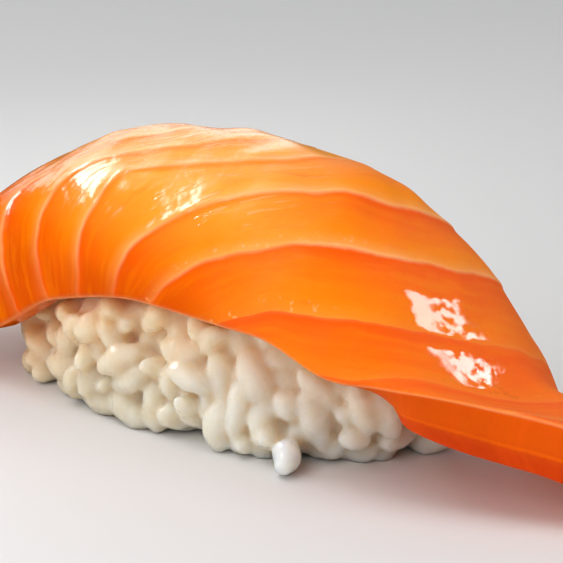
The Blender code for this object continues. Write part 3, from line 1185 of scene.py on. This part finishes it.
    @staticmethod
    def pair_pushes(balls: np.ndarray, owner: np.ndarray, touch: float) -> np.ndarray:
        """Pushes between balls of different grains that overlap.

        Args:
            balls: Centres of the balls.
            owner: Grain that each ball belongs to.
            touch: Distance at which two balls touch.

        Returns:
            The push on each ball.
        """
        square = (balls ** 2).sum(1)
        square = square[:, None] + square[None] - 2 * balls @ balls.T
        close = (square < touch * touch) & (owner[:, None] != owner[None])
        first, second = np.nonzero(close)
        apart = balls[first] - balls[second]
        length = np.maximum(np.linalg.norm(apart, axis=1), 1e-3)
        push = apart / length[:, None] * ((touch - length) * 0.5)[:, None]
        shift = np.zeros_like(balls)
        np.add.at(shift, first, push)
        count = np.maximum(1, np.bincount(first, minlength=len(balls)))
        return shift / np.sqrt(count)[:, None]

    def core(self, roof: BVHTree) -> Tuple[np.ndarray, np.ndarray]:
        """Plain body inside the grains.

        Args:
            roof: Search tree of the slice.

        Returns:
            Its points, in mm, and its faces.
        """
        ball, faces = unit_ball(self.core_fineness)
        height = self.core_bottom + (ball[:, 2] * 0.5 + 0.5) * self.core_height
        swell = self.form.profile.at(height)
        ring = np.hypot(ball[:, 0], ball[:, 1])
        c, s = ball[:, 0] / np.maximum(ring, 1e-6), ball[:, 1] / np.maximum(ring, 1e-6)
        power = 2 / self.form.squareness
        full = ring ** 0.3
        inset = self.core_inset.at(height)
        x = (self.form.half_length * swell - inset) * np.sign(c) * np.abs(c) ** power
        y = (self.form.half_width * swell - inset) * np.sign(s) * np.abs(s) ** power
        points = np.stack([x * full, y * full, height], -1)
        for _ in range(3):
            gap, way = self.below(roof, points)
            points += way * np.maximum(0, self.core_clearance - gap)[:, None]
        return points, faces

    def heap(self, roof: BVHTree) -> bpy.types.Mesh:
        """Put the core and the settled grains in one mesh.

        Args:
            roof: Search tree of the slice.

        Returns:
            The mesh, whose parts overlap.
        """
        rng = np.random.default_rng(self.seed)
        centres, axes = self.settle(*self.sow(roof, rng), roof)
        LOG.info("rice_grains: %d grains", len(centres) + len(self.loose))
        ball, ball_faces = unit_ball(self.grain.fineness)
        points, faces = self.core(roof)
        bodies, shells, count = [points], [faces], len(points)
        spots = np.vstack([centres, self.loose])
        ways = np.vstack([axes, [self.loose_axis] * len(self.loose)])
        sizes = [1.0] * len(centres) + [self.loose_size] * len(self.loose)
        for centre, axis, size in zip(spots, ways, sizes):
            bodies.append(self.grain.shaped(ball, centre, axis, rng, size))
            shells.append(ball_faces + count)
            count += len(ball)
        mesh = bpy.data.meshes.new("rice_grains")
        mesh.from_pydata((np.vstack(bodies) * MM).tolist(), [], np.vstack(shells).tolist())
        return mesh

    def stick(self, mesh: bpy.types.Mesh) -> bpy.types.Object:
        """Fuse the grains and the core where they touch.

        Args:
            mesh: Overlapping grains and core.

        Returns:
            The fused piece.
        """
        piece = bpy.data.objects.new("rice_grains", mesh)
        bpy.context.scene.collection.objects.link(piece)
        for swell in (0.0, self.glue, -self.glue):
            if swell:
                piece.modifiers.new("even", "SMOOTH").iterations = 1
                push = piece.modifiers.new("push", "DISPLACE")
                push.strength, push.mid_level = swell * MM, 0.0
            remesh = piece.modifiers.new("stick", "REMESH")
            remesh.mode = "VOXEL"
            remesh.voxel_size = self.voxel * MM
            piece.data = self.applied(piece)
            largest_body(piece.data)
        piece.modifiers.new("relax", "SMOOTH").iterations = 2
        fewer = piece.modifiers.new("fewer", "DECIMATE")
        fewer.ratio = min(1.0, self.triangles / (2 * len(piece.data.polygons)))
        piece.data = self.applied(piece)
        return piece

    @staticmethod
    def applied(piece: bpy.types.Object) -> bpy.types.Mesh:
        """Mesh of an object with its modifiers applied, which are then removed."""
        graph = bpy.context.evaluated_depsgraph_get()
        mesh = bpy.data.meshes.new_from_object(piece.evaluated_get(graph))
        piece.modifiers.clear()
        return mesh

    def fit(self, mesh: bpy.types.Mesh, roof: BVHTree) -> None:
        """Press the rice flat on the floor and clear of the slice, and store how near it is.

        Args:
            mesh: The fused rice.
            roof: Search tree of the slice.
        """
        count = len(mesh.vertices)
        co, normals = np.empty(count * 3, np.float32), np.empty(count * 3, np.float32)
        mesh.vertices.foreach_get("co", co)
        mesh.vertices.foreach_get("normal", normals)
        ends = edge_ends(mesh)
        normals = normals.reshape(-1, 3).astype(float)
        points = co.reshape(-1, 3).astype(float) / MM
        gap, way = self.below(roof, points)
        # Nearness to the slice, which sets the painted bounce light on the rice.
        near = np.clip(1 - gap / self.bounce_reach, 0, 1) ** 1.5
        points = evened(points, ends, np.clip(1 - gap / self.melt, 0, 0.9)[:, None], 10)
        hollow = ((evened(points, ends, np.ones((count, 1)), 30) - points) * normals).sum(1)
        points += way * np.maximum(0, self.clearance - self.below(roof, points)[0])[:, None]
        rough = waves(points, 21, 0.75) * self.skin + waves(points, 22, 1.5) * self.skin
        points += normals * rough[:, None]
        points[:, 2] = np.maximum(points[:, 2], 0.0)
        mesh.vertices.foreach_set("co", (points * MM).astype(np.float32).ravel())
        away = np.linalg.norm(points - self.pale, axis=1)
        inset = self.form.inset(points)[0] - self.form.unevenness(points)
        store(mesh, {"near_salmon": near, "loose": np.clip(self.pale_reach - away, 0, 1), "inset": inset,
                     "hollow": hollow, "height": points[:, 2], "along": points[:, 0]})
        mesh.update()

    def build(self) -> bpy.types.Object:
        """Make the rice and put its finish on.

        Returns:
            The rice's object.
        """
        roof = self.roof()
        piece = self.stick(self.heap(roof))
        self.fit(piece.data, roof)
        piece.data.shade_smooth()
        piece.data.materials.clear()
        piece.data.materials.append(self.finish.material())
        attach(piece, "root")
        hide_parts("rice")
        LOG.info("rice_grains: %d faces", len(piece.data.polygons))
        return piece


def evened(points: np.ndarray, ends: np.ndarray, share: np.ndarray, rounds: int) -> np.ndarray:
    """Draw points towards the middle of their neighbours.

    Args:
        points: Points of a mesh.
        ends: The two points of each edge.
        share: How much of the way each point is drawn.
        rounds: How many times.

    Returns:
        The evened points.
    """
    a, b = ends.T
    count = np.maximum(1, np.bincount(ends.ravel(), minlength=len(points)))[:, None]
    for _ in range(rounds):
        total = np.stack([np.bincount(a, points[b, i], len(points)) +
                          np.bincount(b, points[a, i], len(points)) for i in range(3)], -1)
        points = points + (total / count - points) * share
    return points


def largest_body(mesh: bpy.types.Mesh) -> None:
    """Delete all but the largest connected body of a mesh.

    Args:
        mesh: The mesh, changed in place.
    """
    count = len(mesh.vertices)
    a, b = edge_ends(mesh).T
    label = np.arange(count)
    while True:
        low = np.minimum(label[a], label[b])
        new = label.copy()
        np.minimum.at(new, a, low)
        np.minimum.at(new, b, low)
        new = new[new]
        if np.array_equal(new, label):
            break
        label = new
    keep = np.bincount(label, minlength=count).argmax()
    bm = bmesh.new()
    bm.from_mesh(mesh)
    bm.verts.ensure_lookup_table()
    strays = [bm.verts[i] for i in np.nonzero(label != keep)[0].tolist()]
    bmesh.ops.delete(bm, geom=strays, context="VERTS")
    bm.to_mesh(mesh)
    bm.free()


# ---------------------------------------------------------------- studio

class Use(Enum):
    """What a lamp is for. Fills light the surfaces and shines show as highlights on them."""

    FILL = 0
    SHINE = 1


@dataclass(frozen=True)
class Softbox:
    """Flat lamp, placed by its direction in degrees from the place that it faces, in metres."""

    name: str
    use: Use
    azimuth: float
    elevation: float
    distance: float
    width: float
    height: float
    radiance: float
    faces: Tuple[float, float, float] = (-0.002, 0.0, 0.012)
    roll: float = 0.0

    @property
    def power(self) -> float:
        """Power in watts."""
        return math.pi * self.width * self.height * self.radiance


@dataclass
class Studio:
    """Floor, lamps and camera."""

    azimuth: float = 41.0
    elevation: float = 18.0
    distance: float = 0.300
    lens: float = 191.8
    pivot: Tuple[float, float, float] = (-0.002, 0.0, 0.012)
    aim_right: float = 0.00665
    aim_up: float = 0.00015
    floor_radius: float = 3.0
    sky: Colour = (0.92, 0.95, 1.0)
    sky_strength: float = 0.22
    lamps: Tuple[Softbox, ...] = (
        Softbox("window", Use.SHINE, 153.7, 43.8, 0.085, 0.066, 0.021, 12.0, (0.031, -0.004, 0.014), -27.0),
        Softbox("left_streak", Use.SHINE, -83.0, 31.0, 0.40, 0.16, 0.08, 28.0),
        Softbox("ridge_sheen", Use.SHINE, -124.0, 20.0, 0.12, 0.12, 0.065, 3.4, (-0.010, 0.0, 0.026)),
        Softbox("crown_sheen", Use.SHINE, -112.0, 48.0, 0.40, 0.50, 0.24, 1.6),
        Softbox("overhead", Use.FILL, -30.0, 66.0, 0.50, 0.40, 0.40, 2.4),
        Softbox("left_fill", Use.FILL, -48.0, 8.0, 0.60, 0.40, 0.24, 4.4),
        Softbox("front_fill", Use.FILL, 10.0, 26.0, 0.60, 0.40, 0.40, 2.4),
        Softbox("right_fill", Use.FILL, 100.0, 42.0, 0.60, 0.40, 0.40, 2.6),
    )

    @staticmethod
    def direction(azimuth: float, elevation: float) -> Vector:
        """Unit vector towards a place given by azimuth and elevation in degrees."""
        a, e = math.radians(azimuth), math.radians(elevation)
        return Vector((math.sin(a) * math.cos(e), -math.cos(a) * math.cos(e), math.sin(e)))

    def build(self) -> None:
        """Make the floor, the lamps, the world and the camera."""
        self.add_floor()
        for lamp in self.lamps:
            self.add_lamp(lamp)
        world = bpy.data.worlds.new("studio")
        bpy.context.scene.world = world
        world.use_nodes = True
        background = world.node_tree.nodes["Background"]
        background.inputs["Color"].default_value = (*self.sky, 1.0)
        background.inputs["Strength"].default_value = self.sky_strength
        world.cycles_visibility.glossy = False
        self.add_camera()
        bpy.context.scene.view_settings.view_transform = "Standard"

    def add_floor(self) -> None:
        """Plain round floor just under the rice."""
        mesh = bpy.data.meshes.new("floor")
        bm = bmesh.new()
        bmesh.ops.create_circle(bm, cap_ends=True, segments=96, radius=self.floor_radius)
        bm.to_mesh(mesh)
        bm.free()
        floor = bpy.data.objects.new("floor", mesh)
        floor.location.z = CAD_BOX[0][2]
        mesh.materials.append(FloorFinish().material())
        bpy.context.scene.collection.objects.link(floor)
        floor.visible_glossy = False

    def add_lamp(self, lamp: Softbox) -> None:
        """Hang one lamp.

        Args:
            lamp: Where it hangs, and its size and power.
        """
        data = bpy.data.lights.new(lamp.name, "AREA")
        data.shape = "RECTANGLE"
        data.size = lamp.width
        data.size_y = lamp.height
        data.energy = lamp.power
        towards = self.direction(lamp.azimuth, lamp.elevation)
        obj = bpy.data.objects.new(lamp.name, data)
        obj.location = Vector(lamp.faces) + towards * lamp.distance
        turn = towards.to_track_quat("Z", "Y").to_matrix()
        obj.rotation_euler = (turn @ Matrix.Rotation(math.radians(lamp.roll), 3, "Z")).to_euler()
        obj.visible_camera = False
        obj.visible_diffuse = lamp.use is Use.FILL
        obj.visible_glossy = lamp.use is Use.SHINE
        bpy.context.scene.collection.objects.link(obj)

    def add_camera(self) -> None:
        """Put up the camera."""
        back = self.direction(self.azimuth, self.elevation)
        right = Vector((math.cos(math.radians(self.azimuth)), math.sin(math.radians(self.azimuth)), 0))
        up = back.cross(right)
        pivot = Vector(self.pivot)
        spot = pivot + back * self.distance
        aim = pivot + right * self.aim_right + up * self.aim_up
        data = bpy.data.cameras.new("camera")
        data.lens = self.lens
        data.clip_start = 0.01
        data.clip_end = 20.0
        camera = bpy.data.objects.new("camera", data)
        camera.location = spot
        camera.rotation_euler = (spot - aim).to_track_quat("Z", "Y").to_euler()
        bpy.context.scene.collection.objects.link(camera)
        bpy.context.scene.camera = camera


def main() -> None:
    """Build the nigiri and its studio, in order."""
    logging.basicConfig(level=logging.INFO)
    SalmonSlice().build()
    RiceLoaf().build()
    Studio().build()


if __name__ == "__main__":
    main()
